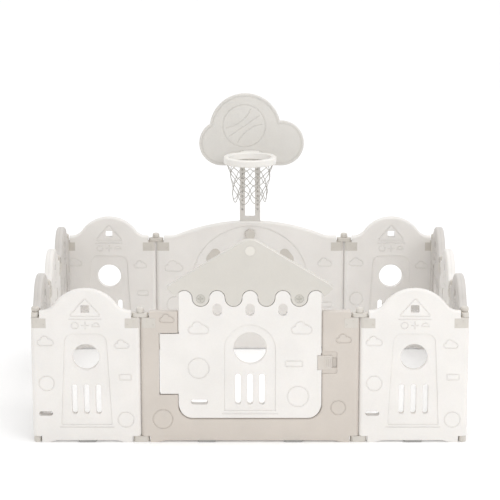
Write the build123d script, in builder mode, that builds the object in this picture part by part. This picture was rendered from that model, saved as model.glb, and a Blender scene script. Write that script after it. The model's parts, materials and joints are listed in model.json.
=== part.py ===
from build123d import *
import os

# A child's playpen: ten small panels, a gate and a wide back panel stand on the floor in a
# rectangle and are joined by connectors with two upright pins each. A hoop stands on the back.
# Millimetres. The origin is on the floor at the middle of the rectangle, +Z is up and the gate
# is on the -Y side.

# Panels
PITCH = 400.0  # one panel unit along the fence
THICK = 32.0  # panel thickness, also the diameter of its full-round upright ends
END_GAP = 0.3  # air between the round ends of two neighbours
SHOULDER = 499.0  # height of a panel's ends
ARCH_TOP = 582.0  # height of a small panel's crown
CROWN_R = 139.0  # radius of that crown
COVE_R = 60.0  # hollow curve from the crown to the shoulder
EDGE_R = 9.0  # rounding along a panel's top edges
HOLE_EDGE_R = 2.0  # rounding round its holes
BASE_RISE = 8.0  # the bottom edge is this far off the floor between the corner feet
RELIEF = 1.0  # how far the rivets, the plugs and the grip stand proud
GROOVE = 1.5  # depth of the decoration's lines
LINE = 4.0  # their width
RECESS = 3.0  # how deep the toy door is set in

# Connectors and their pins
PIN_INSET = THICK / 2 + END_GAP / 2  # from a unit's end to its pin's axis
PIN_SPACING = 2 * PIN_INSET
PIN_R = 4.0
PIN_HOLE_R = 4.06
PIN_LENGTH = 40.0
BLOCK_WIDTH = 28.0
BLOCK_LENGTH = PIN_SPACING + BLOCK_WIDTH
NOTCH_WIDTH = 33.0
TOP_NOTCH = 26.0  # depth of the notch in a panel's top corner
BASE_NOTCH = 24.0  # height of the notch in its bottom corner
CLEAR = 0.3  # between a connector and the panel it turns over
BLOCK_DROP = 7.0  # from the shoulder down to the upper block's top
KNOB_R = 14.5
KNOB_HEIGHT = 19.0

# Brackets over the panels' top ends
BRACKET_START = 5.0  # from the unit's end
BRACKET_END = 56.0
BRACKET_LEG = 36.0
BRACKET_WALL = 2.5
BRACKET_WEB = 3.0
FOOT_WIDTH = 65.0
FOOT_DEPTH = 34.0
FOOT_STEM_R = 6.0
FOOT_STEM = 14.0
WIDE_FEET = (-160, 160)  # the feet of the gate and of the back centre panel

# Layout of the fence
ROW_Y = 1.5 * PITCH + PIN_INSET  # middle plane of the front and back rows
SIDE_X = 2 * PITCH - PIN_INSET  # middle plane of the two sides

# Gate
DOOR_HALF = 259.3
DOOR_BOTTOM = 93.5
DOOR_GAP = 3.0
DOOR_CORNER_R = 48.0
HINGE_X = -297.0
TAB_END = -328.0
TAB_LOW = 186.0
TAB_HIGH = 415.0
HINGE_PIN_R = 5.0
HINGE_HOLE_R = 5.06
HINGE_PIN_LENGTH = 60.0
HINGE_PIN_IN_DOOR = 20.0
POST_EDGE_R = 10.0
SCALLOP_STEP = 59.7  # between a bump and the next valley along the door's top
WAVE_Z = 549.0  # the wave's centre line
BUMP_R = 28.0
VALLEY_R = SCALLOP_STEP - BUMP_R
ROOF_APEX = 775.0  # before its rounding
ROOF_APEX_R = 60.0
EAVE_HALF = 307.0
EAVE_TIP = 588.0
EAVE_LOW_HALF = 262.0
ROOF_GAP = 1.5
SCREW_X = 3 * SCALLOP_STEP
SCREW_Z = 547.0
SCREW_R = 16.0
SCREW_HEAD = 3.5
SHANK_R = 4.0
LEDGE_WIDTH = 40.0
LEDGE_FRONT = 2.0  # the ledge lies behind the panel's middle plane
LEDGE_BACK = 14.0
LEDGE_TOP = 574.0

# Latch
LATCH_Z = 306.0
LATCH_POCKET_X = 318.0  # end of the grip's window in each face
SLOT_END_X = 337.0  # end of the slot between the faces
TONGUE_TIP_X = 247.0
SLIDER_END_X = 300.5
BODY_END_X = 318.5  # the slider's middle backs the whole window
TONGUE_HEIGHT = 54.0
TONGUE_THICK = 14.0
COVER = 2.6  # thickness of the slider's cover plates
GRIP_X = 286.0
GRIP_WIDTH = 26.0
GRIP_HEIGHT = 37.0

# Back centre panel and hoop
BACK_TOP = 565.0
BACK_CROWN_R = 818.0
ARCH_LINE_R = 250.0
ARCH_LINE_Z = 295.0
ARCH_LOW = 30.0
POST_WIDTH = 86.0
TONGUE_WIDTH = 70.0
RAIL_WIDTH = 22.0
POST_THICK = 14.0
TONGUE_DEEP = 110.0
STOP_HEIGHT = 20.0
POST_TOP = 1085.0
HOLE_PITCH = 19.0
RAIL_HOLE_R = 4.0
RAIL_HOLE_DEPTH = 5.0
RAIL_HOLES = 23
POST_KNOB_Z = 510.0
POST_KNOB_R = 22.0
STUD_R = 5.0
PLUG_RING = 196.0  # the oval plugs' distance from the middle of the arch line
PLUG_ANGLE = 53.0
PLUG_LENGTH = 72.0
PLUG_WIDTH = 42.0
CARRIAGE_WIDTH = 104.0
CARRIAGE_HEIGHT = 120.0
CARRIAGE_Z = 900.0
PLATE = 6.5
BOARD_THICK = 14.0
BOARD_LOW = 808.0
BALL_X = -24.0
BALL_Z = BOARD_LOW + 169.0
BALL_R = 91.0
SEAM_TILT = 35.0  # slope of the ball's middle seam
SEAM_R = 137.5  # radius of the curved seams on either side of it
SEAM_OFFSET = (96.5, -126.0)  # from the ball's middle to one curved seam's centre
SEAM_REACH = 76.0
RIM_Z = 857.0
RIM_OUTER_R = 109.0
RIM_INNER_R = 87.0
RIM_HEIGHT = 28.0
RIM_REACH = 131.0  # from the board's face to the middle of the ring
NET_TOP_R = 97.0
NET_LOW_R = 70.0
NET_LOW_Z = 678.0
NET_WALL = 3.0


def write(part, name):
    """Labels a finished part and writes it."""
    part.label = name
    export_step(part, f"parts/{name}.step")


def at_depth(depth):
    """Picks the edges that lie flat at this distance from a panel's middle plane."""

    def lies_there(edge):
        box = edge.bounding_box()
        near = min(abs(box.min.Y), abs(box.max.Y))
        return box.size.Y < 0.01 and abs(near - depth) < 0.01

    return lies_there


def cloud(width):
    """The outline of a cloud with a flat base, a high lobe and a low one."""
    for inset, mode in ((0, Mode.ADD), (LINE, Mode.SUBTRACT)):
        SlotOverall(width - 2 * inset, 0.42 * width - 2 * inset, mode=mode)
        with Locations((-0.06 * width, 0.16 * width)):
            Circle(0.27 * width - inset, mode=mode)
        with Locations((0.2 * width, 0.08 * width)):
            Circle(0.2 * width - inset, mode=mode)


def ring(radius):
    """The outline of a circle."""
    Circle(radius)
    Circle(radius - LINE, mode=Mode.SUBTRACT)


def badge(width, height):
    """The outline of a rounded bar."""
    RectangleRounded(width, height, 6)
    RectangleRounded(width - 2 * LINE, height - 2 * LINE, 2, mode=Mode.SUBTRACT)


def corner_notches(half):
    """Cuts the four corners where the connectors sit."""
    for z, height in ((SHOULDER - TOP_NOTCH / 2, TOP_NOTCH), (BASE_NOTCH / 2, BASE_NOTCH)):
        with Locations((half - NOTCH_WIDTH / 2, z), (NOTCH_WIDTH / 2 - half, z)):
            Rectangle(NOTCH_WIDTH, height, mode=Mode.SUBTRACT)


def raised_base(half):
    """Lifts the bottom edge off the floor between the corner feet."""
    foot = half - 60
    slope = half - 90
    points = ((-foot, 0), (-slope, BASE_RISE), (slope, BASE_RISE), (foot, 0))
    Polygon(*points, align=None, mode=Mode.SUBTRACT)


def bracket_strip(half, end):
    """The band of a panel's plan that the bracket at one end wraps."""
    SlotOverall(2 * half - END_GAP, THICK)
    inner = 2 * half - END_GAP - 2 * BRACKET_WALL
    SlotOverall(inner, THICK - 2 * BRACKET_WALL, mode=Mode.SUBTRACT)
    with Locations((end * (half - (BRACKET_START + BRACKET_END) / 2), 0)):
        Rectangle(BRACKET_END - BRACKET_START, THICK, mode=Mode.INTERSECT)


def finish_ends(half):
    """Rounds a panel's upright ends, seats its brackets and drills for the connector pins."""
    with BuildSketch(Plane.XY) as plan:
        SlotOverall(2 * half - END_GAP, THICK)
    extrude(plan.sketch, amount=ARCH_TOP + THICK, mode=Mode.INTERSECT)
    for end in (-1, 1):
        with BuildSketch(Plane.XY.offset(SHOULDER - TOP_NOTCH - BRACKET_LEG)) as seat:
            bracket_strip(half, end)
        extrude(seat.sketch, amount=BRACKET_LEG, mode=Mode.SUBTRACT)
    for level, length in ((SHOULDER - TOP_NOTCH, -PIN_LENGTH), (BASE_NOTCH, PIN_LENGTH)):
        with BuildSketch(Plane.XY.offset(level)) as bores:
            with GridLocations(2 * (half - PIN_INSET), 0, 2, 1):
                Circle(PIN_HOLE_R)
        extrude(bores.sketch, amount=length, mode=Mode.SUBTRACT)


def drill_feet(places):
    """Blind holes in the bottom edge for the foot pads' stems."""
    with BuildSketch(Plane.XY.offset(BASE_RISE)) as holes:
        with Locations(*[(x, 0) for x in places]):
            Circle(FOOT_STEM_R)
    extrude(holes.sketch, amount=FOOT_STEM, mode=Mode.SUBTRACT)


def place(part, location):
    """A finished part, stood in its place in the fence."""
    with BuildPart() as placed:
        with Locations(location):
            add(part)
    return placed.part


def small_panel_part():
    with BuildPart() as panel:
        with BuildSketch(Plane.XZ) as outline:
            with Locations((0, SHOULDER / 2)):
                Rectangle(PITCH - END_GAP, SHOULDER)
            with Locations((0, ARCH_TOP - CROWN_R)):
                Circle(CROWN_R)
            meeting = outline.vertices().filter_by(
                lambda v: abs(v.Y - SHOULDER) < 0.1 and abs(v.X) < PITCH / 2 - NOTCH_WIDTH
            )
            fillet(meeting, COVE_R)
            corner_notches(PITCH / 2)
            raised_base(PITCH / 2)
        extrude(amount=THICK / 2, both=True)
        finish_ends(PITCH / 2)
        drill_feet([0])
        top = panel.edges().filter_by(at_depth(THICK / 2))
        fillet(top.filter_by(lambda e: e.center().Z > SHOULDER - 1), EDGE_R)

        # toy door set into both faces
        for face in (-1, 1):
            with BuildSketch(Plane.XZ.offset(face * THICK / 2)) as toy_door:
                Polygon((-94, 67), (94, 67), (76, 415), (-76, 415), align=None)
                fillet(toy_door.vertices().group_by(Axis.Y)[-1], 34)
                fillet(toy_door.vertices().group_by(Axis.Y)[0], 8)
            extrude(amount=-face * RECESS, mode=Mode.SUBTRACT)

        # openings through the toy door
        with BuildSketch(Plane.XZ):
            with Locations((0, 326)):
                Circle(49)
            with Locations((0, 164.5)):
                with GridLocations(44, 0, 3, 1):
                    SlotOverall(113, 20, rotation=90)
        extrude(amount=THICK, both=True, mode=Mode.SUBTRACT)
        floor_edges = panel.edges(Select.LAST).filter_by(at_depth(THICK / 2 - RECESS))
        fillet(floor_edges, HOLE_EDGE_R)

        # gable over the door, icons and the decoration beside the door, as lines in both faces
        for face in (-1, 1):
            with BuildSketch(Plane.XZ.offset(face * THICK / 2)) as gable:
                Polygon((-63, 479), (63, 479), (0, 552), align=None)
                fillet(gable.vertices(), 7)
                offset(amount=-LINE, mode=Mode.SUBTRACT)
            extrude(amount=-face * GROOVE, mode=Mode.SUBTRACT)
            with BuildSketch(Plane.XZ.offset(face * THICK / 2)):
                with Locations((0, 470)):
                    Rectangle(118, LINE)
                with Locations((-38, 447)):
                    ring(14)
                with Locations((0, 447)):
                    Rectangle(28, LINE)
                    Rectangle(LINE, 28)
                with Locations((38, 443)):
                    Circle(15)
                    Circle(15 - LINE, mode=Mode.SUBTRACT)
                    with Locations((0, -9)):
                        Rectangle(32, 18, mode=Mode.SUBTRACT)
                    Rectangle(30, LINE)
                with Locations((0, 59)):
                    Rectangle(200, LINE)
                with Locations((-147, 382)):
                    cloud(62)
                with Locations((132, 371)):
                    cloud(56)
                with Locations((-145, 227)):
                    ring(30)
                with Locations((144, 88)):
                    ring(31)
                with Locations((143, 251)):
                    badge(48, 25)
            extrude(amount=-face * GROOVE, mode=Mode.SUBTRACT)
        with BuildSketch(Plane.XZ):
            with Locations((0, 509)):
                RectangleRounded(31, 28, 3)
            with Locations((-150, 111)):
                SlotOverall(51, 17)
        extrude(amount=THICK, both=True, mode=Mode.SUBTRACT)
    return panel.part


def brackets_part(half):
    """The two inverted-U brackets over a panel's top ends."""
    web_z = SHOULDER - TOP_NOTCH
    with BuildPart() as brackets:
        for end in (-1, 1):
            with BuildSketch(Plane.XY.offset(web_z - BRACKET_LEG)):
                bracket_strip(half, end)
            extrude(amount=BRACKET_LEG)
            with BuildSketch(Plane.XY.offset(web_z)):
                SlotOverall(2 * half - END_GAP, THICK)
                with Locations((end * (half - (BRACKET_START + NOTCH_WIDTH) / 2), 0)):
                    Rectangle(NOTCH_WIDTH - BRACKET_START, THICK, mode=Mode.INTERSECT)
            extrude(amount=BRACKET_WEB)
        with BuildSketch(Plane.XY.offset(web_z)):
            with GridLocations(2 * (half - PIN_INSET), 0, 2, 1):
                Circle(PIN_HOLE_R)
        extrude(amount=BRACKET_WEB, mode=Mode.SUBTRACT)
        for face in (-1, 1):
            with BuildSketch(Plane.XZ.offset(face * THICK / 2)):
                for end in (-1, 1):
                    with Locations(
                        (end * (half - 24), web_z - 10), (end * (half - 47), web_z - 24)
                    ):
                        Circle(2.8)
            extrude(amount=face * RELIEF)
    return brackets.part


def feet_part(places):
    """Rubber pads with stems pressed into the bottom edge."""
    with BuildPart() as feet:
        with BuildSketch(Plane.XY):
            with Locations(*[(x, 0) for x in places]):
                RectangleRounded(FOOT_WIDTH, FOOT_DEPTH, 6)
        extrude(amount=BASE_RISE)
        chamfer(feet.faces().sort_by(Axis.Z)[0].edges(), 1)
        with BuildSketch(Plane.XY.offset(BASE_RISE)):
            with Locations(*[(x, 0) for x in places]):
                Circle(FOOT_STEM_R)
        extrude(amount=FOOT_STEM - 1)
    return feet.part


def connector_part(pin_ends=(-1, 1)):
    """An upper block with its knob and a lower block. Pins stand at the named ends."""
    block_low = SHOULDER - TOP_NOTCH + BRACKET_WEB + CLEAR
    block_high = SHOULDER - BLOCK_DROP
    base_high = BASE_NOTCH - 1.0
    pins = [(end * PIN_SPACING / 2, 0) for end in pin_ends]
    with BuildPart() as upper:
        with BuildSketch(Plane.XY.offset(block_low)):
            SlotOverall(BLOCK_LENGTH, BLOCK_WIDTH)
        extrude(amount=block_high - block_low)
        fillet(upper.faces().sort_by(Axis.Z)[-1].edges(), 3)
        with BuildSketch(Plane.XY.offset(block_low)):
            with Locations(*pins):
                Circle(PIN_R)
        extrude(amount=-(PIN_LENGTH - BRACKET_WEB - 2))
    with BuildPart() as knob:
        with BuildSketch(Plane.XY.offset(block_high)):
            Circle(KNOB_R - 2)
        extrude(amount=3)
        with BuildSketch(Plane.XY.offset(block_high + 3)):
            Circle(KNOB_R)
        extrude(amount=KNOB_HEIGHT - 3)
        fillet(knob.edges().sort_by(Axis.Z)[-1], 7)
    with BuildPart() as lower:
        with BuildSketch(Plane.XY):
            SlotOverall(BLOCK_LENGTH, BLOCK_WIDTH)
        extrude(amount=base_high)
        chamfer(lower.faces().sort_by(Axis.Z)[0].edges(), 1.5)
        with BuildSketch(Plane.XY.offset(base_high)):
            with Locations(*pins):
                Circle(PIN_R)
        extrude(amount=PIN_LENGTH - 2)
    return Compound(children=[upper.part, knob.part, lower.part])


def gate_frame_part():
    """The gate's two posts and sill."""
    inner = DOOR_HALF + DOOR_GAP
    sill = DOOR_BOTTOM - DOOR_GAP
    pocket_middle = (inner + LATCH_POCKET_X) / 2
    with BuildPart() as frame:
        with BuildSketch(Plane.XZ):
            with Locations((0, SHOULDER / 2)):
                Rectangle(2 * PITCH - END_GAP, SHOULDER)
            corner_notches(PITCH)
            raised_base(PITCH)
        extrude(amount=THICK / 2, both=True)
        finish_ends(PITCH)
        drill_feet(WIDE_FEET)
        with BuildSketch(Plane.XZ):
            with Locations((0, sill + SHOULDER / 2)):
                RectangleRounded(2 * inner, SHOULDER, DOOR_CORNER_R + DOOR_GAP)
        extrude(amount=THICK, both=True, mode=Mode.SUBTRACT)
        faces = frame.edges().filter_by(at_depth(THICK / 2))
        doorway = faces.filter_by(lambda e: abs(e.center().X) < inner + 0.1 and e.center().Z > sill - 0.1)
        fillet(doorway, POST_EDGE_R)
        faces = frame.edges().filter_by(at_depth(THICK / 2))
        fillet(faces.filter_by(lambda e: e.center().Z > SHOULDER - 0.1), EDGE_R / 2)

        # recess for the door's hinge tab
        recess_end = TAB_END - DOOR_GAP - 1
        recess_start = THICK - inner
        with BuildSketch(Plane.XZ):
            with Locations(((recess_end + recess_start) / 2, (TAB_LOW + TAB_HIGH) / 2)):
                Rectangle(recess_start - recess_end, TAB_HIGH - TAB_LOW + 2 * DOOR_GAP)
        extrude(amount=THICK, both=True, mode=Mode.SUBTRACT)

        # slot for the latch slider, open towards the door, with a grip window in each face
        with BuildSketch(Plane.XZ):
            with Locations(((inner + SLOT_END_X) / 2, LATCH_Z)):
                Rectangle(SLOT_END_X - inner + 0.1, TONGUE_HEIGHT + 2 * CLEAR)
        extrude(amount=TONGUE_THICK / 2 + CLEAR, both=True, mode=Mode.SUBTRACT)
        for face in (-1, 1):
            with BuildSketch(Plane.XZ.offset(face * THICK / 2)):
                with Locations((pocket_middle + 2, LATCH_Z)):
                    RectangleRounded(LATCH_POCKET_X - inner - 4, GRIP_HEIGHT + 3, 4)
            extrude(amount=-face * (THICK - TONGUE_THICK) / 2, mode=Mode.SUBTRACT)
            with BuildSketch(Plane.XZ.offset(face * THICK / 2)):
                with Locations((pocket_middle, LATCH_Z)):
                    RectangleRounded(LATCH_POCKET_X - inner + 2, 84, 8)
            extrude(amount=-face * RECESS, mode=Mode.SUBTRACT)

        for face in (-1, 1):
            with BuildSketch(Plane.XZ.offset(face * THICK / 2)):
                with Locations((-303, 468)):
                    cloud(56)
                with Locations((-320, 90)):
                    ring(38)
                with Locations((342, 392)):
                    cloud(58)
                with Locations((324, 134)):
                    ring(29)
            extrude(amount=-face * GROOVE, mode=Mode.SUBTRACT)
        reach = HINGE_PIN_LENGTH - HINGE_PIN_IN_DOOR
        with BuildSketch(Plane.XY.offset(TAB_LOW - reach)):
            with Locations((HINGE_X, 0)):
                Circle(HINGE_PIN_R)
        extrude(amount=TAB_HIGH - TAB_LOW + 2 * reach, mode=Mode.SUBTRACT)
    return frame.part


def door_part():
    """The door leaf: a scalloped top, a hinge tab and a toy doorway set into both faces."""
    bumps = [(n * SCALLOP_STEP, WAVE_Z) for n in (-4, -2, 0, 2, 4)]
    valleys = [(n * SCALLOP_STEP, WAVE_Z) for n in (-3, -1, 1, 3)]
    tab_start = 40 - DOOR_HALF
    with BuildPart() as door:
        with BuildSketch(Plane.XZ) as leaf:
            with Locations((0, (DOOR_BOTTOM + WAVE_Z) / 2)):
                Rectangle(2 * DOOR_HALF, WAVE_Z - DOOR_BOTTOM)
            with Locations(*bumps):
                Circle(BUMP_R)
            with Locations(*valleys):
                Circle(VALLEY_R, mode=Mode.SUBTRACT)
            with Locations((0, WAVE_Z)):
                Rectangle(2 * DOOR_HALF, 2 * WAVE_Z, mode=Mode.INTERSECT)
            fillet(leaf.vertices().group_by(Axis.Y)[0], DOOR_CORNER_R)
            with Locations(((TAB_END + tab_start) / 2, (TAB_LOW + TAB_HIGH) / 2)):
                Rectangle(tab_start - TAB_END, TAB_HIGH - TAB_LOW)
        extrude(amount=THICK / 2, both=True)
        faces = door.edges().filter_by(at_depth(THICK / 2))
        fillet(faces.filter_by(lambda e: e.center().X > TAB_END + 1), HOLE_EDGE_R)

        # toy doorway, with its window and slots, and the row of oval holes above it
        for face in (-1, 1):
            with BuildSketch(Plane.XZ.offset(face * THICK / 2)):
                with Locations((0, 355)):
                    Circle(94)
                with Locations((0, (122 + 355) / 2)):
                    Rectangle(188, 355 - 122)
            extrude(amount=-face * RECESS, mode=Mode.SUBTRACT)
        with BuildSketch(Plane.XZ):
            with Locations((0, 359)):
                Circle(60.5)
            with Locations((0, 203)):
                with GridLocations(44, 0, 3, 1):
                    SlotOverall(118, 21.5, rotation=90)
        extrude(amount=THICK, both=True, mode=Mode.SUBTRACT)
        fillet(door.edges(Select.LAST).filter_by(at_depth(THICK / 2 - RECESS)), HOLE_EDGE_R)
        with BuildSketch(Plane.XZ):
            with Locations((0, 505)):
                with GridLocations(2 * SCALLOP_STEP, 0, 3, 1):
                    SlotOverall(46, 32, rotation=90)
            with Locations((-186, 155)):
                SlotOverall(62, 19)
        extrude(amount=THICK, both=True, mode=Mode.SUBTRACT)
        fillet(door.edges(Select.LAST).filter_by(at_depth(THICK / 2)), HOLE_EDGE_R)
        for face in (-1, 1):
            with BuildSketch(Plane.XZ.offset(face * THICK / 2)):
                with Locations((-188, 430)):
                    cloud(78)
                with Locations((188, 430)):
                    cloud(78)
                with Locations((-188, 285)):
                    ring(40)
                with Locations((176, 177)):
                    ring(41)
                with Locations((161, 302)):
                    badge(66, 25)
                with Locations((0, 111)):
                    Rectangle(204, LINE)
            extrude(amount=-face * GROOVE, mode=Mode.SUBTRACT)

        # pocket for the latch's tongue and the ledges that the roof is screwed to
        with BuildSketch(Plane.XZ):
            with Locations((DOOR_HALF - 7, LATCH_Z)):
                Rectangle(16, TONGUE_HEIGHT + 2)
        extrude(amount=TONGUE_THICK / 2 + 1, both=True, mode=Mode.SUBTRACT)
        for face in (-1, 1):
            with BuildSketch(Plane.XZ.offset(face * THICK / 2)):
                with Locations((DOOR_HALF - 5.5, LATCH_Z)):
                    Rectangle(15, TONGUE_HEIGHT + 2)
            extrude(amount=-face * RECESS, mode=Mode.SUBTRACT)
        with BuildSketch(Plane.XZ.offset(-LEDGE_FRONT)):
            with Locations((0, (WAVE_Z - VALLEY_R - 10 + LEDGE_TOP) / 2)):
                with GridLocations(2 * SCREW_X, 0, 2, 1):
                    Rectangle(LEDGE_WIDTH, LEDGE_TOP - WAVE_Z + VALLEY_R + 10)
        extrude(amount=LEDGE_FRONT - LEDGE_BACK)
        with BuildSketch(Plane.XZ.offset(-LEDGE_BACK - 1)):
            with Locations((-SCREW_X, SCREW_Z), (SCREW_X, SCREW_Z)):
                Circle(SHANK_R)
        extrude(amount=LEDGE_BACK, mode=Mode.SUBTRACT)
        with BuildSketch(Plane.XY.offset(TAB_LOW)):
            with Locations((HINGE_X, 0)):
                Circle(HINGE_HOLE_R)
        extrude(amount=TAB_HIGH - TAB_LOW, mode=Mode.SUBTRACT)
    return door.part


def roof_part():
    """The gable on the door. Its lower edge follows the scallops and laps over two ledges."""
    bumps = [(n * SCALLOP_STEP, WAVE_Z) for n in (-4, -2, 0, 2, 4)]
    valleys = [(n * SCALLOP_STEP, WAVE_Z) for n in (-3, -1, 1, 3)]
    with BuildPart() as roof:
        with BuildSketch(Plane.XZ) as gable:
            Polygon(
                (-EAVE_LOW_HALF, WAVE_Z),
                (EAVE_LOW_HALF, WAVE_Z),
                (EAVE_HALF, EAVE_TIP),
                (0, ROOF_APEX),
                (-EAVE_HALF, EAVE_TIP),
                align=None,
            )
            fillet(gable.vertices().group_by(Axis.Y)[-1], ROOF_APEX_R)
            fillet(gable.vertices().filter_by(lambda v: abs(abs(v.X) - EAVE_HALF) < 0.1), 10)
            with Locations(*bumps):
                Circle(BUMP_R + ROOF_GAP, mode=Mode.SUBTRACT)
            with Locations(*valleys):
                Circle(VALLEY_R - ROOF_GAP)
        extrude(amount=THICK / 2, both=True)
        fillet(roof.edges().filter_by(at_depth(THICK / 2)), HOLE_EDGE_R)
        with BuildSketch(Plane.XZ.offset(CLEAR - LEDGE_FRONT)):
            with Locations((0, (WAVE_Z - VALLEY_R + LEDGE_TOP) / 2)):
                with GridLocations(2 * SCREW_X, 0, 2, 1):
                    Rectangle(LEDGE_WIDTH + 2, LEDGE_TOP - WAVE_Z + VALLEY_R + 2)
        extrude(amount=-THICK, mode=Mode.SUBTRACT)
        with BuildSketch(Plane.XZ):
            with Locations((-SCREW_X, SCREW_Z), (SCREW_X, SCREW_Z)):
                Circle(SHANK_R)
        extrude(amount=THICK, both=True, mode=Mode.SUBTRACT)
        with BuildSketch(Plane.XZ.offset(THICK / 2)):
            with Locations((-SCREW_X, SCREW_Z), (SCREW_X, SCREW_Z)):
                Circle(SCREW_R)
        extrude(amount=-SCREW_HEAD, mode=Mode.SUBTRACT)
        with BuildSketch(Plane.XZ):
            with Locations((0, 725)):
                Circle(18)
        extrude(amount=THICK / 2 + RELIEF, both=True)
    return roof.part


def roof_screws_part():
    """Two wide screws with a cross recess, from the roof's lobes into the door's ledges."""
    places = [(-SCREW_X, SCREW_Z), (SCREW_X, SCREW_Z)]
    with BuildPart() as screws:
        with BuildSketch(Plane.XZ.offset(THICK / 2)):
            with Locations(*places):
                Circle(SCREW_R - 0.3)
        extrude(amount=-SCREW_HEAD)
        fillet(screws.edges().group_by(Axis.Y)[0], 1)
        with BuildSketch(Plane.XZ.offset(THICK / 2 - SCREW_HEAD)):
            with Locations(*places):
                Circle(SHANK_R)
        extrude(amount=SCREW_HEAD - THICK / 2 - LEDGE_BACK + 2)
        with BuildSketch(Plane.XZ.offset(THICK / 2)):
            with Locations(*places):
                Rectangle(20, 3.5)
                Rectangle(3.5, 20)
        extrude(amount=-2, mode=Mode.SUBTRACT)
    return screws.part


def hinge_pins_part():
    """The door's upper and lower pins, fixed in the frame."""
    with BuildPart() as pins:
        with BuildSketch(Plane.XY.offset(TAB_HIGH - HINGE_PIN_IN_DOOR)):
            with Locations((HINGE_X, 0)):
                Circle(HINGE_PIN_R)
        extrude(amount=HINGE_PIN_LENGTH)
        with BuildSketch(Plane.XY.offset(TAB_LOW + HINGE_PIN_IN_DOOR)):
            with Locations((HINGE_X, 0)):
                Circle(HINGE_PIN_R)
        extrude(amount=-HINGE_PIN_LENGTH)
    return pins.part


def latch_part():
    """The latch slider: a tongue, a cover plate on each face and a ribbed grip."""
    middle = (TONGUE_TIP_X + SLIDER_END_X) / 2
    length = SLIDER_END_X - TONGUE_TIP_X
    body_length = BODY_END_X - TONGUE_TIP_X
    face_depth = THICK / 2 - RECESS + CLEAR
    with BuildPart() as latch:
        with BuildSketch(Plane.XZ):
            with Locations((TONGUE_TIP_X + body_length / 2, LATCH_Z)):
                RectangleRounded(body_length, TONGUE_HEIGHT, 3)
        extrude(amount=TONGUE_THICK / 2, both=True)
        for face in (-1, 1):
            with BuildSketch(Plane.XZ.offset(face * face_depth)):
                with Locations((middle, LATCH_Z)):
                    RectangleRounded(length, TONGUE_HEIGHT, 3)
            extrude(amount=face * COVER)
        with BuildSketch(Plane.XZ):
            with Locations((GRIP_X, LATCH_Z)):
                RectangleRounded(GRIP_WIDTH, GRIP_HEIGHT, 3)
        extrude(amount=THICK / 2 + RELIEF, both=True)
        fillet(latch.edges().filter_by(at_depth(THICK / 2 + RELIEF)), 0.9)
        for face in (-1, 1):
            with BuildSketch(Plane.XZ.offset(face * (THICK / 2 + RELIEF))):
                with Locations((GRIP_X, LATCH_Z)):
                    with GridLocations(7, 0, 3, 1):
                        SlotOverall(GRIP_HEIGHT - 10, 2.4, rotation=90)
            extrude(amount=-face, mode=Mode.SUBTRACT)
    return latch.part


def back_centre_part():
    """The wide back panel: a low crown, an arch line, slots, and the socket for the hoop post."""
    with BuildPart() as panel:
        with BuildSketch(Plane.XZ) as outline:
            with Locations((0, SHOULDER / 2)):
                Rectangle(2 * PITCH - END_GAP, SHOULDER)
            with BuildSketch(mode=Mode.ADD):
                with Locations((0, BACK_TOP - BACK_CROWN_R)):
                    Circle(BACK_CROWN_R)
                with Locations((0, BACK_TOP / 2)):
                    Rectangle(2 * PITCH - 100, BACK_TOP, mode=Mode.INTERSECT)
            meeting = outline.vertices().filter_by(
                lambda v: abs(v.Y - SHOULDER) < 0.1 and abs(v.X) < PITCH - NOTCH_WIDTH
            )
            fillet(meeting, COVE_R)
            corner_notches(PITCH)
            raised_base(PITCH)
        extrude(amount=THICK / 2, both=True)
        finish_ends(PITCH)
        drill_feet(WIDE_FEET)
        faces = panel.edges().filter_by(at_depth(THICK / 2))
        fillet(faces.filter_by(lambda e: e.center().Z > SHOULDER - 1), EDGE_R)
        with BuildSketch(Plane.XZ):
            with Locations((0, 112)):
                with GridLocations(44, 0, 7, 1):
                    SlotOverall(60, 20, rotation=90)
        extrude(amount=THICK, both=True, mode=Mode.SUBTRACT)
        fillet(panel.edges(Select.LAST).filter_by(at_depth(THICK / 2)), HOLE_EDGE_R)
        for face in (-1, 1):
            with BuildSketch(Plane.XZ.offset(face * THICK / 2)):
                with Locations((0, ARCH_LINE_Z)):
                    ring(ARCH_LINE_R)
                    with Locations((0, -ARCH_LINE_R / 2)):
                        Rectangle(2 * ARCH_LINE_R, ARCH_LINE_R, mode=Mode.SUBTRACT)
                with Locations((0, ARCH_LOW + (ARCH_LINE_Z - ARCH_LOW) / 2)):
                    with GridLocations(2 * ARCH_LINE_R - LINE, 0, 2, 1):
                        Rectangle(LINE, ARCH_LINE_Z - ARCH_LOW)
                with Locations((-325, 362)):
                    cloud(80)
                with Locations((318, 381)):
                    cloud(62)
                with Locations((-320, 200)):
                    ring(38)
                with Locations((320, 200)):
                    badge(64, 25)
            extrude(amount=-face * GROOVE, mode=Mode.SUBTRACT)

        # socket for the post's tongue, the knob's stud hole and the oval plugs' seats
        socket_low = BACK_TOP - TONGUE_DEEP
        with BuildSketch(Plane.XY.offset(socket_low - 1)):
            Rectangle(TONGUE_WIDTH + 0.4, POST_THICK + 0.4)
        extrude(amount=TONGUE_DEEP + THICK, mode=Mode.SUBTRACT)
        with BuildSketch(Plane.XZ.offset(THICK)):
            with Locations((0, POST_KNOB_Z)):
                Circle(STUD_R)
        extrude(amount=-THICK, mode=Mode.SUBTRACT)
        with BuildSketch(Plane.XZ.offset(THICK / 2)):
            oval_plugs()
        extrude(amount=-RECESS, mode=Mode.SUBTRACT)
    return panel.part


def oval_plugs():
    """Two ovals that lie along a circle round the middle of the arch line."""
    with Locations((0, ARCH_LINE_Z)):
        with PolarLocations(PLUG_RING, 2, start_angle=90 - PLUG_ANGLE, angular_range=4 * PLUG_ANGLE):
            SlotOverall(PLUG_LENGTH, PLUG_WIDTH, rotation=90)


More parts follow.
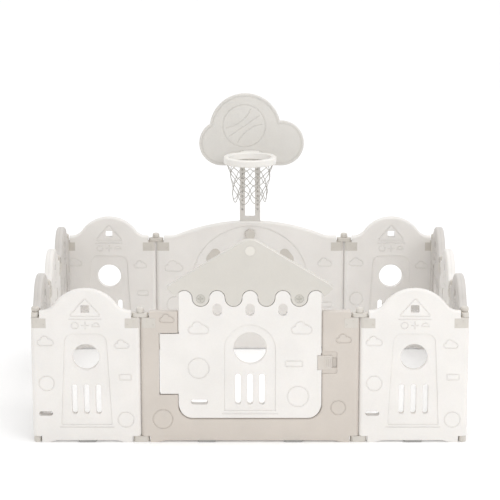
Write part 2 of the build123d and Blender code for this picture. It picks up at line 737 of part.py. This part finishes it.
def plugs_part():
    with BuildPart() as plugs:
        with BuildSketch(Plane.XZ.offset(THICK / 2 - RECESS)):
            oval_plugs()
        extrude(amount=RECESS + RELIEF)
        fillet(plugs.edges().group_by(Axis.Y)[0], 1)
    return plugs.part


def hoop_post_part():
    """A ladder of two drilled rails on a tongue, with a stop bar that sits on the panel."""
    stop_z = BACK_TOP
    rail_x = (POST_WIDTH - RAIL_WIDTH) / 2
    with BuildPart() as post:
        with BuildSketch(Plane.XZ):
            with Locations((0, (stop_z - TONGUE_DEEP + stop_z) / 2)):
                Rectangle(TONGUE_WIDTH, TONGUE_DEEP)
            with Locations((0, stop_z + STOP_HEIGHT / 2)):
                Rectangle(POST_WIDTH, STOP_HEIGHT)
            with Locations((0, (stop_z + POST_TOP) / 2)):
                with GridLocations(2 * rail_x, 0, 2, 1):
                    Rectangle(RAIL_WIDTH, POST_TOP - stop_z)
            with Locations((0, POST_TOP - STOP_HEIGHT / 2)):
                Rectangle(POST_WIDTH, STOP_HEIGHT)
        extrude(amount=POST_THICK / 2, both=True)
        uprights = post.edges().filter_by(Axis.Y).group_by(Axis.Z)[-1]
        fillet(uprights, 8)
        for face in (-1, 1):
            with BuildSketch(Plane.XZ.offset(face * POST_THICK / 2)):
                with Locations((0, (stop_z + POST_TOP) / 2)):
                    with GridLocations(2 * rail_x, HOLE_PITCH, 2, RAIL_HOLES):
                        Circle(RAIL_HOLE_R)
            extrude(amount=-face * RAIL_HOLE_DEPTH, mode=Mode.SUBTRACT)
        with BuildSketch(Plane.XZ):
            with Locations((0, POST_KNOB_Z)):
                Circle(STUD_R)
        extrude(amount=POST_THICK, both=True, mode=Mode.SUBTRACT)
    return post.part


def post_knob_part():
    """A scalloped knob whose stud clamps the post's tongue in its socket."""
    with BuildPart() as knob:
        with BuildSketch(Plane.XZ.offset(THICK / 2 + RELIEF + CLEAR)):
            with Locations((0, POST_KNOB_Z)):
                Circle(POST_KNOB_R)
                with PolarLocations(POST_KNOB_R + 1, 6):
                    Circle(4, mode=Mode.SUBTRACT)
        extrude(amount=14)
        fillet(knob.edges().group_by(Axis.Y)[0], 2)
        with BuildSketch(Plane.XZ.offset(THICK / 2 + RELIEF + CLEAR)):
            with Locations((0, POST_KNOB_Z)):
                Circle(STUD_R)
        extrude(amount=-(THICK / 2 + POST_THICK / 2 + RELIEF + CLEAR))
    return knob.part


def carriage_part():
    """Plates in front of and behind the rails, joined through the gap, with a locking knob."""
    gap_width = POST_WIDTH - 2 * RAIL_WIDTH - 2 * CLEAR
    inside = POST_THICK / 2 + CLEAR
    with BuildPart() as carriage:
        with BuildSketch(Plane.XZ):
            with Locations((0, CARRIAGE_Z)):
                Rectangle(gap_width, CARRIAGE_HEIGHT)
        extrude(amount=inside, both=True)
        for face in (-1, 1):
            with BuildSketch(Plane.XZ.offset(face * inside)):
                with Locations((0, CARRIAGE_Z)):
                    RectangleRounded(CARRIAGE_WIDTH, CARRIAGE_HEIGHT, 8)
            extrude(amount=face * PLATE)
    with BuildPart() as lock:
        with BuildSketch(Plane.XZ.offset(-inside - PLATE)):
            with Locations((0, CARRIAGE_Z)):
                RegularPolygon(12, 8)
        extrude(amount=-2)
    return Compound(children=[carriage.part, lock.part])


def board_outline(inset):
    """The backboard's cloud outline, or the same set in by a margin."""
    with Locations((-20, BOARD_LOW + 156)):
        Circle(149 - inset)
    with Locations((-118, BOARD_LOW + 95)):
        Circle(95 - inset)
    with Locations((131, BOARD_LOW + 95)):
        Circle(95 - inset)
    with Locations((6.5, BOARD_LOW + 70)):
        Rectangle(249, 140 - 2 * inset)


def backboard_part():
    """The backboard: a border line and a ball, cut as lines in its face."""
    face_y = ROW_Y - POST_THICK / 2 - CLEAR - PLATE - BOARD_THICK
    front = Plane.XZ.offset(-face_y)
    with BuildPart() as board:
        with BuildSketch(front):
            board_outline(0)
        extrude(amount=-BOARD_THICK)
        fillet(board.faces().sort_by(Axis.Y)[0].edges(), 3)
        with BuildSketch(front):
            board_outline(9)
            with BuildSketch(mode=Mode.SUBTRACT):
                board_outline(9 + LINE)
        extrude(amount=-GROOVE, mode=Mode.SUBTRACT)
        with BuildSketch(front):
            with Locations((BALL_X, BALL_Z)):
                ring(BALL_R)
                with Locations(Location((0, 0), SEAM_TILT)):
                    Rectangle(2 * SEAM_REACH, LINE)
            with BuildSketch():
                for side in (-1, 1):
                    with Locations((BALL_X + side * SEAM_OFFSET[0], BALL_Z + side * SEAM_OFFSET[1])):
                        ring(SEAM_R)
                with Locations((BALL_X, BALL_Z)):
                    Circle(SEAM_REACH, mode=Mode.INTERSECT)
        extrude(amount=-GROOVE, mode=Mode.SUBTRACT)
    return board.part


def rim_part():
    """The deep ring of the hoop, its neck and the low gable plate that holds it to the board."""
    face_y = ROW_Y - POST_THICK / 2 - CLEAR - PLATE - BOARD_THICK
    centre_y = face_y - RIM_REACH
    plate_thick = 9
    with BuildPart() as rim:
        with BuildSketch(Plane.XY.offset(RIM_Z - RIM_HEIGHT / 2)):
            with Locations((0, centre_y)):
                Circle(RIM_OUTER_R)
            with Locations((0, (centre_y + face_y - 2) / 2 + 30)):
                Rectangle(76, RIM_REACH - 2 - 60)
            with Locations((0, centre_y)):
                Circle(RIM_INNER_R, mode=Mode.SUBTRACT)
        extrude(amount=RIM_HEIGHT)
        fillet(rim.edges().filter_by(GeomType.CIRCLE), 4)
        with BuildSketch(Plane.XZ.offset(-face_y + 2)) as plate:
            Polygon((-100, 837), (100, 837), (100, 850), (22, 873), (-22, 873), (-100, 850), align=None)
            fillet(plate.vertices(), 5)
        extrude(amount=plate_thick)
    return rim.part


def net_part():
    """The net's plain body: a tapered sleeve, open at the top and the bottom."""
    face_y = ROW_Y - POST_THICK / 2 - CLEAR - PLATE - BOARD_THICK
    centre_y = face_y - RIM_REACH
    top_z = RIM_Z - RIM_HEIGHT / 2
    with BuildPart() as net:
        for margin, mode in ((0, Mode.ADD), (NET_WALL, Mode.SUBTRACT)):
            with BuildSketch(Plane.XY.offset(top_z)):
                with Locations((0, centre_y)):
                    Circle(NET_TOP_R - margin)
            with BuildSketch(Plane.XY.offset(NET_LOW_Z)):
                with Locations((0, centre_y)):
                    Circle(NET_LOW_R - margin)
            loft(mode=mode)
    return net.part


os.makedirs("parts", exist_ok=True)

# where each small panel stands: the middle of its base and its turn about +Z
FENCE = {
    "front_left": (-1.5 * PITCH, -ROW_Y, 0),
    "front_right": (1.5 * PITCH, -ROW_Y, 0),
    "left_front": (-SIDE_X, -PITCH, 90),
    "left_middle": (-SIDE_X, 0, 90),
    "left_back": (-SIDE_X, PITCH, 90),
    "right_front": (SIDE_X, -PITCH, -90),
    "right_middle": (SIDE_X, 0, -90),
    "right_back": (SIDE_X, PITCH, -90),
    "back_left": (-1.5 * PITCH, ROW_Y, 0),
    "back_right": (1.5 * PITCH, ROW_Y, 0),
}
small_panel = small_panel_part()
small_brackets = brackets_part(PITCH / 2)
small_foot = feet_part([0])
for name, (x, y, turn) in FENCE.items():
    stand = Location((x, y, 0), (0, 0, turn))
    write(place(small_panel, stand), f"{name}_panel")
    write(place(small_brackets, stand), f"{name}_brackets")
    write(place(small_foot, stand), f"{name}_foot")

# the gate and the back centre panel
gate = Location((0, -ROW_Y, 0))
back = Location((0, ROW_Y, 0))
wide_brackets = brackets_part(PITCH)
wide_feet = feet_part(WIDE_FEET)
write(place(gate_frame_part(), gate), "gate_frame")
write(place(wide_brackets, gate), "gate_brackets")
write(place(wide_feet, gate), "gate_feet")
write(place(door_part(), gate), "door")
write(place(roof_part(), gate), "roof")
write(place(roof_screws_part(), gate), "roof_screws")
write(place(hinge_pins_part(), gate), "door_hinge_pins")
write(place(latch_part(), gate), "latch_slider")
write(place(back_centre_part(), back), "back_centre_panel")
write(place(wide_brackets, back), "back_centre_brackets")
write(place(wide_feet, back), "back_centre_feet")
write(place(plugs_part(), back), "back_centre_plugs")
write(place(hoop_post_part(), back), "hoop_post")
write(place(post_knob_part(), back), "post_knob")
write(place(carriage_part(), back), "hoop_carriage")
write(backboard_part(), "backboard")
write(rim_part(), "hoop_rim")
write(net_part(), "hoop_net")

# connectors stand over the seams. At a corner they lie in line with the side panels.
JUNCTIONS = {
    "gate_left": (-PITCH, -ROW_Y, 0),
    "corner_front_left": (-SIDE_X, -1.5 * PITCH, 90),
    "left_front": (-SIDE_X, -0.5 * PITCH, 90),
    "left_back": (-SIDE_X, 0.5 * PITCH, 90),
    "corner_back_left": (-SIDE_X, 1.5 * PITCH, 90),
    "back_left": (-PITCH, ROW_Y, 0),
    "gate_right": (PITCH, -ROW_Y, 0),
    "corner_front_right": (SIDE_X, -1.5 * PITCH, 90),
    "right_front": (SIDE_X, -0.5 * PITCH, 90),
    "right_back": (SIDE_X, 0.5 * PITCH, 90),
    "corner_back_right": (SIDE_X, 1.5 * PITCH, 90),
}
connector = connector_part()
for name, (x, y, turn) in JUNCTIONS.items():
    write(place(connector, Location((x, y, 0), (0, 0, turn))), f"{name}_connector")
# the ring is open at the last seam: this connector has pins only in the back right panel
open_connector = connector_part(pin_ends=[1])
write(place(open_connector, Location((PITCH, ROW_Y, 0))), "back_right_connector")
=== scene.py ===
"""The playpen's looks: moulded plastic on the CAD parts, a knotted net, and the studio around them."""

import json
import math

import bmesh
import bpy
from mathutils import Matrix, Vector


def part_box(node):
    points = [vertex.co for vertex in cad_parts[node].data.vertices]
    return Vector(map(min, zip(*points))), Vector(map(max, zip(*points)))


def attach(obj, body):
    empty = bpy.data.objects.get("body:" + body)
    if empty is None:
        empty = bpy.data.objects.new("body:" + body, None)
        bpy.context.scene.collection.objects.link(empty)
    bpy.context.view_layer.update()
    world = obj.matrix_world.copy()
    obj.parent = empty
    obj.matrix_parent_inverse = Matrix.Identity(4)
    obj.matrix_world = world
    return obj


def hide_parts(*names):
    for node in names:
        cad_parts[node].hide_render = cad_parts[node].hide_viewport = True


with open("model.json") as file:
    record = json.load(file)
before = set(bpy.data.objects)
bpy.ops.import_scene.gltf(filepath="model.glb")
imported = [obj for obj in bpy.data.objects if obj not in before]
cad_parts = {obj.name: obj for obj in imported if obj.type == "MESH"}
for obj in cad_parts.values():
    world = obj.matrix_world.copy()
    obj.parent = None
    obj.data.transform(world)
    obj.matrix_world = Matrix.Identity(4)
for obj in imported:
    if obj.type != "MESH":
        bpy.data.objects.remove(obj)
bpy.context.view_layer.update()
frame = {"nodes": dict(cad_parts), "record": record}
nodes = frame["nodes"]
slot_of = {s["node"]: s["material_slot"] for s in frame["record"]["subparts"]}


# ---------------------------------------------------------------- node helpers


def new_material(name):
    """An empty node material with a Principled shader, its tree and the shader."""
    material = bpy.data.materials.new(name)
    material.use_nodes = True
    tree = material.node_tree
    tree.nodes.clear()
    output = tree.nodes.new("ShaderNodeOutputMaterial")
    shader = tree.nodes.new("ShaderNodeBsdfPrincipled")
    tree.links.new(shader.outputs["BSDF"], output.inputs["Surface"])
    return material, tree, shader


def noise(tree, scale, detail=2.0):
    """Noise that is fixed to the piece, with its scale in cells per metre."""
    place = tree.nodes.new("ShaderNodeTexCoord")
    texture = tree.nodes.new("ShaderNodeTexNoise")
    texture.inputs["Scale"].default_value = scale
    texture.inputs["Detail"].default_value = detail
    tree.links.new(place.outputs["Object"], texture.inputs["Vector"])
    return texture.outputs["Fac"]


def coordinate(tree, axis):
    """One coordinate of the shaded point, in metres, fixed to the piece."""
    place = tree.nodes.new("ShaderNodeTexCoord")
    split = tree.nodes.new("ShaderNodeSeparateXYZ")
    tree.links.new(place.outputs["Object"], split.inputs["Vector"])
    return split.outputs[axis]


def math_node(tree, operation, a, b=None):
    """One Math node. Each input is a socket or a number."""
    node = tree.nodes.new("ShaderNodeMath")
    node.operation = operation
    for socket, value in zip(node.inputs, (a, b)):
        if value is None:
            continue
        if isinstance(value, (int, float)):
            socket.default_value = value
        else:
            tree.links.new(value, socket)
    return node.outputs[0]


def ramp(tree, value, low, high, out_low, out_high):
    """Maps a value's range to another, clamped."""
    node = tree.nodes.new("ShaderNodeMapRange")
    tree.links.new(value, node.inputs["Value"])
    node.inputs["From Min"].default_value = low
    node.inputs["From Max"].default_value = high
    node.inputs["To Min"].default_value = out_low
    node.inputs["To Max"].default_value = out_high
    return node.outputs["Result"]


def tint(tree, value, first, second):
    """A colour between two, by a value from 0 to 1. Each colour is a socket or three numbers."""
    node = tree.nodes.new("ShaderNodeMix")
    node.data_type = "RGBA"
    tree.links.new(value, node.inputs["Factor"])
    for socket, colour in ((node.inputs["A"], first), (node.inputs["B"], second)):
        if isinstance(colour, tuple):
            socket.default_value = (*colour, 1)
        else:
            tree.links.new(colour, socket)
    return node.outputs["Result"]


def bump(tree, height, strength, distance, normal=None):
    """The normal of a surface raised by up to a distance, over another normal where one is given."""
    node = tree.nodes.new("ShaderNodeBump")
    node.inputs["Strength"].default_value = strength
    node.inputs["Distance"].default_value = distance
    tree.links.new(height, node.inputs["Height"])
    if normal:
        tree.links.new(normal, node.inputs["Normal"])
    return node.outputs["Normal"]


def scaled(colour, factor):
    """The colour, darker or lighter."""
    return tuple(c * factor for c in colour)


# ---------------------------------------------------------------- materials


# Noise scales are in cells per metre, and sizes are in metres.
# A RANGE is the part of a noise's values that is spread over the full effect.
MOTTLE_CELLS, SPECKLE_CELLS = 9.0, 160.0
MOTTLE_SHARE = 0.7
MOTTLE_RANGE = (0.35, 0.65)
MOTTLE_DARK, MOTTLE_LIGHT = 0.965, 1.02
GLOSS_CELLS = 26.0
GLOSS_RANGE = (0.3, 0.7)
SMOOTHER, ROUGHER = 0.05, 0.07
SHELL_ROUGHNESS, FITTING_ROUGHNESS = 0.42, 0.38
SHELL_GRAIN, FITTING_GRAIN = 900.0, 1300.0
SHELL_SOFTEN, FITTING_SOFTEN = 0.0016, 0.0008
PEEL_STRENGTH, PEEL_HEIGHT = 0.25, 0.00012
WAVE_CELLS, WAVE_STRENGTH, WAVE_HEIGHT = 14.0, 0.35, 0.0008
SEAM_FULL, SEAM_END = 0.0003, 0.0009
SEAM_STRENGTH, SEAM_HEIGHT = 0.8, 0.0005
SEAM_SHADE, SEAM_SHARE = 0.7, 0.35
DISC_EDGE = 0.0005
DISC_LIGHT = 1.15
PLASTIC_IOR = 1.5
SCATTER_WEIGHT, SCATTER_RADIUS = 0.04, (0.004, 0.003, 0.002)
RUBBER_CELLS, RUBBER_DARK, RUBBER_LIGHT = 220.0, (0.28, 0.275, 0.265), (0.38, 0.375, 0.36)
RUBBER_GRAIN, RUBBER_STRENGTH, RUBBER_HEIGHT = 1800.0, 0.5, 0.0002
STEEL_CELLS, STEEL_DARK, STEEL_LIGHT = 300.0, (0.5, 0.5, 0.51), (0.62, 0.62, 0.63)
STEEL_GLOSS_CELLS, STEEL_ROUGHNESS = 90.0, (0.28, 0.42)
TWIST_SCALE, TWIST_DISTORTION = 260.0, 1.5
TWIST_STRENGTH, TWIST_HEIGHT = 0.7, 0.0003
# The cord's two tones are darker than its own colour. Part of their grey is painted shade, the grey of a
# net hanging in shade under the ring. The step between the two tones is the twist of the strands.
CORD_DARK_WITH_SHADE, CORD_LIGHT_WITH_SHADE, CORD_SHEEN = (0.36, 0.345, 0.315), (0.52, 0.50, 0.46), 0.3
MATT = 0.8


def moulded(name, colour, roughness, grain, soften, seam=None, disc=None):
    """Blow-moulded plastic: a fine orange-peel skin, cloudy gloss, faint mottling and rounded edges.

    grain is the skin's noise scale and soften is the edges' radius.
    seam is (axis, place) of the mould's parting line, a thin ridge at that plane.
    disc is (x, z, radius) of a paler round boss, seen along Y."""
    material, tree, shader = new_material(name)
    link = tree.links.new
    mottle = math_node(tree, "MULTIPLY", noise(tree, MOTTLE_CELLS, 3.0), MOTTLE_SHARE)
    speckle = math_node(tree, "MULTIPLY", noise(tree, SPECKLE_CELLS), 1 - MOTTLE_SHARE)
    shade = ramp(tree, math_node(tree, "ADD", mottle, speckle), *MOTTLE_RANGE, 0, 1)
    base = tint(tree, shade, scaled(colour, MOTTLE_DARK), scaled(colour, MOTTLE_LIGHT))
    cloud = noise(tree, GLOSS_CELLS, 4.0)
    rough = ramp(tree, cloud, *GLOSS_RANGE, roughness - SMOOTHER, roughness + ROUGHER)
    link(rough, shader.inputs["Roughness"])

    edges = tree.nodes.new("ShaderNodeBevel")
    edges.samples = 4
    edges.inputs["Radius"].default_value = soften
    normal = bump(tree, noise(tree, grain), PEEL_STRENGTH, PEEL_HEIGHT, edges.outputs["Normal"])
    normal = bump(tree, noise(tree, WAVE_CELLS, 1.0), WAVE_STRENGTH, WAVE_HEIGHT, normal)
    if seam:
        axis, place = seam
        off = math_node(tree, "ABSOLUTE", math_node(tree, "SUBTRACT", coordinate(tree, axis), place))
        line = ramp(tree, off, SEAM_FULL, SEAM_END, 1, 0)
        normal = bump(tree, line, SEAM_STRENGTH, SEAM_HEIGHT, normal)
        base = tint(tree, math_node(tree, "MULTIPLY", line, SEAM_SHARE), base, scaled(colour, SEAM_SHADE))
    if disc:
        base = pale_disc(tree, base, colour, disc)
    link(base, shader.inputs["Base Color"])
    link(normal, shader.inputs["Normal"])
    shader.inputs["IOR"].default_value = PLASTIC_IOR
    shader.inputs["Subsurface Weight"].default_value = SCATTER_WEIGHT
    shader.inputs["Subsurface Radius"].default_value = SCATTER_RADIUS
    return material


def pale_disc(tree, base, colour, disc):
    """Lightens the base colour inside a circle in X and Z."""
    x, z, radius = disc
    across = math_node(tree, "SUBTRACT", coordinate(tree, "X"), x)
    up = math_node(tree, "SUBTRACT", coordinate(tree, "Z"), z)
    across_squared = math_node(tree, "MULTIPLY", across, across)
    up_squared = math_node(tree, "MULTIPLY", up, up)
    away = math_node(tree, "SQRT", math_node(tree, "ADD", across_squared, up_squared))
    inside = ramp(tree, away, radius - DISC_EDGE, radius + DISC_EDGE, 1, 0)
    return tint(tree, inside, base, scaled(colour, DISC_LIGHT))


def rubber():
    """Grey rubber of the feet: matt, with a fine grain."""
    material, tree, shader = new_material("rubber")
    link = tree.links.new
    base = tint(tree, noise(tree, RUBBER_CELLS, 3.0), RUBBER_DARK, RUBBER_LIGHT)
    link(base, shader.inputs["Base Color"])
    link(bump(tree, noise(tree, RUBBER_GRAIN), RUBBER_STRENGTH, RUBBER_HEIGHT), shader.inputs["Normal"])
    shader.inputs["Roughness"].default_value = MATT
    return material


def pin_steel():
    """Drawn steel of the pins, with an uneven gloss."""
    material, tree, shader = new_material("pin_steel")
    link = tree.links.new
    base = tint(tree, noise(tree, STEEL_CELLS), STEEL_DARK, STEEL_LIGHT)
    link(base, shader.inputs["Base Color"])
    cloud = noise(tree, STEEL_GLOSS_CELLS, 3.0)
    link(ramp(tree, cloud, *GLOSS_RANGE, *STEEL_ROUGHNESS), shader.inputs["Roughness"])
    shader.inputs["Metallic"].default_value = 1.0
    return material


def net_cord():
    """Twisted polyester cord: slanting strands, a soft sheen, and tones darkened with painted shade."""
    material, tree, shader = new_material("net_cord")
    link = tree.links.new
    place = tree.nodes.new("ShaderNodeTexCoord")
    twist = tree.nodes.new("ShaderNodeTexWave")
    twist.bands_direction = "DIAGONAL"
    twist.inputs["Scale"].default_value = TWIST_SCALE
    twist.inputs["Distortion"].default_value = TWIST_DISTORTION
    link(place.outputs["Object"], twist.inputs["Vector"])
    strands = twist.outputs["Fac"]
    # The strand tones carry painted shade as well as the cord's own grey-brown.
    link(tint(tree, strands, CORD_DARK_WITH_SHADE, CORD_LIGHT_WITH_SHADE), shader.inputs["Base Color"])
    link(bump(tree, strands, TWIST_STRENGTH, TWIST_HEIGHT), shader.inputs["Normal"])
    shader.inputs["Roughness"].default_value = MATT
    shader.inputs["Sheen Weight"].default_value = CORD_SHEEN
    return material


def middle(node):
    """The middle of the node's box."""
    low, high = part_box(node)
    return (low + high) / 2


ROW_Y = middle("gate_frame").y
SIDE_X = middle("left_middle_panel").x
SEAMS = {"front": ("Y", ROW_Y), "back": ("Y", -ROW_Y), "left": ("X", SIDE_X), "right": ("X", -SIDE_X)}
COLOURS = {
    "white_shell": (0.79, 0.765, 0.735),
    "greige_shell": (0.60, 0.548, 0.495),
    "greige_side": (0.585, 0.558, 0.53),
    "roof_shell": (0.622, 0.596, 0.548),
    "bracket": (0.605, 0.571, 0.522),
    "latch_fitting": (0.60, 0.555, 0.505),
    "screw": (0.54, 0.52, 0.47),
    "post": (0.66, 0.635, 0.60),
    "board": (0.66, 0.64, 0.605),
    "rim": (0.82, 0.80, 0.765),
}
OTHERS = {"rubber": rubber, "steel": pin_steel, "net": net_cord}
SHELLS = ("white_shell", "greige_shell", "roof_shell")
ROOF_BOSS = (0, 0.725, 0.018)
made = {}


def side_of(node):
    """Which run of the fence a shell belongs to, for its mould's parting line."""
    if node in ("gate_frame", "door", "roof"):
        return "front"
    return node.split("_")[0]


def shell(key, slot, side):
    """A panel's plastic. The greige panels beside the gate are slightly greyer than the gate."""
    colour = COLOURS["greige_side" if slot == "greige_shell" and side != "front" else slot]
    disc = ROOF_BOSS if slot == "roof_shell" else None
    return moulded(key, colour, SHELL_ROUGHNESS, SHELL_GRAIN, SHELL_SOFTEN, SEAMS[side], disc)


def material_for(node):
    """The node's material, made once for each finish and parting line."""
    slot = slot_of[node]
    key = f"{slot}_{side_of(node)}" if slot in SHELLS else slot
    if key not in made:
        if slot in OTHERS:
            made[key] = OTHERS[slot]()
        elif slot in SHELLS:
            made[key] = shell(key, slot, side_of(node))
        else:
            made[key] = moulded(slot, COLOURS[slot], FITTING_ROUGHNESS, FITTING_GRAIN, FITTING_SOFTEN)
    return made[key]


for name, obj in nodes.items():
    material = material_for(name)
    if obj.data.materials:
        for index in range(len(obj.data.materials)):
            obj.data.materials[index] = material
    else:
        obj.data.materials.append(material)


# ---------------------------------------------------------------- the net

# Sizes are in metres. The net hangs inside the CAD's sleeve, which it replaces.
CORD_R = 0.00145
STRANDS = 8
ROWS = 5
SLEEVE_INSET = 0.003
HEM_GAP = 0.004
DRAW_IN, DRAW_POWER = 0.27, 1.7
SWAY, SWAY_TURN, SWAY_ROW = 0.0022, 2.1, 1.3
LIFT, LIFT_TURN, LIFT_ROW = 0.0025, 1.7, 2.9
BOW_ACROSS, BOW_DOWN = 0.62, 0.46
HEM_LOOP = ((0.12, 0.5), (0.32, 0.88), (0.5, 0.98), (0.68, 0.88), (0.88, 0.5))
KNOT_SIZE = (0.0026, 0.0032, 0.0024)
HOOK_R = 0.0016
HOOK_DROP = 0.007
HOOK_RIGHT = ((0.0042, 0.002), (0.0042, -0.004), (0.0026, -HOOK_DROP - 0.0012))
HOOK_PATH = (*HOOK_RIGHT, (0, -HOOK_DROP - 0.0022), *((-side, up) for side, up in reversed(HOOK_RIGHT)))


def smooth_curve(name, lines, radius):
    """A curve object of round cords, one for each list of points."""
    curve = bpy.data.curves.new(name, "CURVE")
    curve.dimensions = "3D"
    curve.bevel_depth = radius
    curve.bevel_resolution = 3
    curve.resolution_u = 4
    curve.use_fill_caps = True
    for points in lines:
        spline = curve.splines.new("NURBS")
        spline.points.add(len(points) - 1)
        for point, place in zip(spline.points, points):
            point.co = (*place, 1)
        spline.order_u = 3
        spline.use_endpoint_u = True
    obj = bpy.data.objects.new(name, curve)
    bpy.context.scene.collection.objects.link(obj)
    return obj


def knot_balls(places, centre):
    """One object with an oval knot at each place, turned to face out from the net's axis."""
    mesh = bpy.data.meshes.new("net_knots")
    form = bmesh.new()
    size = Matrix.Diagonal((*KNOT_SIZE, 1))
    for place in places:
        out = Vector((place.x - centre.x, place.y - centre.y, 0)).normalized()
        turn = Matrix.Translation(place) @ out.to_track_quat("Z", "Y").to_matrix().to_4x4()
        bmesh.ops.create_icosphere(form, subdivisions=2, radius=1, matrix=turn @ size)
    form.to_mesh(mesh)
    form.free()
    mesh.polygons.foreach_set("use_smooth", [True] * len(mesh.polygons))
    obj = bpy.data.objects.new("net_knots", mesh)
    bpy.context.scene.collection.objects.link(obj)
    return obj


def net():
    """A knotted diamond net hung from hooks under the ring, with looped ends at the hem."""
    low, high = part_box("hoop_net")
    centre = (low + high) / 2
    top_r = (high.x - low.x) / 2 - SLEEVE_INSET
    top_z = high.z - HOOK_DROP
    height = top_z - low.z - HEM_GAP

    def at(turn, row):
        """A point on the hung net, by its strand number round the ring and its row.

        The net draws in below the ring and hangs nearly straight at the hem."""
        t = row / ROWS
        angle = 2 * math.pi * turn / STRANDS
        r = top_r * (1 - DRAW_IN * (1 - (1 - min(t, 1)) ** DRAW_POWER))
        r += SWAY * math.sin(SWAY_TURN * turn + SWAY_ROW * row) * min(t * 2, 1)
        lift = LIFT * math.sin(LIFT_TURN * turn + LIFT_ROW * row) * min(t * 3, 1)
        z = top_z - t * height + lift
        return Vector((centre.x + r * math.cos(angle), centre.y + r * math.sin(angle), z))

    cords, knots = [], []
    for row in range(ROWS - 1):
        for index in range(STRANDS):
            turn = index + 0.5 * (row % 2)
            start = at(turn, row)
            if row:
                knots.append(start)
            for way in (-0.5, 0.5):
                end = at(turn + way, row + 1)
                bow = at(turn + way * BOW_ACROSS, row + BOW_DOWN)
                cords.append([start, start.lerp(bow, 0.5), bow, bow.lerp(end, 0.5), end])
    last = ROWS - 1
    for index in range(STRANDS):
        turn = index + 0.5 * (last % 2)
        start = at(turn, last)
        knots.append(start)
        loop = [at(turn + across, last + down) for across, down in HEM_LOOP]
        cords.append([start, *loop, at(turn + 1, last)])

    hooks = []
    for index in range(STRANDS):
        angle = 2 * math.pi * index / STRANDS
        out = Vector((math.cos(angle), math.sin(angle), 0))
        along = Vector((-out.y, out.x, 0))
        base = Vector((centre.x, centre.y, high.z)) + out * top_r
        hooks.append([base + along * side + Vector((0, 0, up)) for side, up in HOOK_PATH])
    return (
        smooth_curve("net_cords", cords, CORD_R),
        knot_balls(knots, centre),
        smooth_curve("net_hooks", hooks, HOOK_R),
    )


cords, knots, hooks = net()
for piece in (cords, knots):
    piece.data.materials.append(material_for("hoop_net"))
hooks.data.materials.append(material_for("hoop_rim"))
for piece in (cords, knots, hooks):
    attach(piece, "hoop")
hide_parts("hoop_net")


# ---------------------------------------------------------------- the studio


# Places and sizes are in metres and powers are in watts.
FLOOR_HALF = 30.0
WALL_Y, WALL_TOP = 24.0, 22.0
BEND_R, BEND_STEPS = 6.0, 12
PAPER, PAPER_ROUGHNESS, PAPER_GLOW = (0.97, 0.97, 0.97), 0.9, 0.1
AIR_STRENGTH = 0.92
SOFTBOXES = (
    # name, place, target, size, power
    ("key", (3.0, -5.0, 3.6), (0, 0, 0.35), 2.2, 58),
    ("top", (0.6, 0.2, 4.5), (0, 0, 0), 3.0, 26),
    ("rear", (0.5, -0.7, 2.4), (0.2, 0.62, 0.45), 0.9, 4.5),
)
SENSOR_MM, LENS_MM = 36, 140.19
CAMERA_PLACE = (0, -7.468, 2.331)
CAMERA_DOWN_DEG = 13.19


def paper():
    """The backdrop's flat white, with a little light of its own, as a lit backdrop has."""
    material, _, shader = new_material("studio_paper")
    shader.inputs["Emission Color"].default_value = (1, 1, 1, 1)
    shader.inputs["Emission Strength"].default_value = PAPER_GLOW
    shader.inputs["Base Color"].default_value = (*PAPER, 1)
    shader.inputs["Roughness"].default_value = PAPER_ROUGHNESS
    shader.inputs["Specular IOR Level"].default_value = 0.2
    return material


def floor():
    """A wide pale floor that curves up into the backdrop far behind the playpen."""
    bend_y = WALL_Y - BEND_R
    profile = [(-FLOOR_HALF, 0.0), (bend_y, 0.0)]
    for step in range(1, BEND_STEPS + 1):
        angle = math.pi / 2 * step / BEND_STEPS
        profile.append((bend_y + BEND_R * math.sin(angle), BEND_R - BEND_R * math.cos(angle)))
    profile.append((WALL_Y, WALL_TOP))
    points = [(x, y, z) for y, z in profile for x in (-FLOOR_HALF, FLOOR_HALF)]
    faces = [(2 * i, 2 * i + 1, 2 * i + 3, 2 * i + 2) for i in range(len(profile) - 1)]
    mesh = bpy.data.meshes.new("studio")
    mesh.from_pydata(points, [], faces)
    mesh.polygons.foreach_set("use_smooth", [True] * len(mesh.polygons))
    mesh.materials.append(paper())
    obj = bpy.data.objects.new("studio", mesh)
    bpy.context.scene.collection.objects.link(obj)


def softbox(name, place, target, size, power):
    """A square area light aimed at a point."""
    light = bpy.data.lights.new(name, "AREA")
    light.shape = "SQUARE"
    light.size = size
    light.energy = power
    obj = bpy.data.objects.new(name, light)
    obj.location = place
    obj.rotation_euler = (Vector(target) - Vector(place)).to_track_quat("-Z", "Y").to_euler()
    bpy.context.scene.collection.objects.link(obj)


floor()
for lamp in SOFTBOXES:
    softbox(*lamp)
world = bpy.data.worlds.new("studio_air")
world.use_nodes = True
air = world.node_tree.nodes["Background"]
air.inputs["Color"].default_value = (1, 1, 1, 1)
air.inputs["Strength"].default_value = AIR_STRENGTH
scene = bpy.context.scene
scene.world = world
scene.view_settings.view_transform = "Standard"
scene.view_settings.look = "None"

camera = bpy.data.cameras.new("camera")
camera.sensor_width = SENSOR_MM
camera.lens = LENS_MM
camera_obj = bpy.data.objects.new("camera", camera)
camera_obj.location = CAMERA_PLACE
camera_obj.rotation_euler = (math.radians(90 - CAMERA_DOWN_DEG), 0, 0)
scene.collection.objects.link(camera_obj)
scene.camera = camera_obj
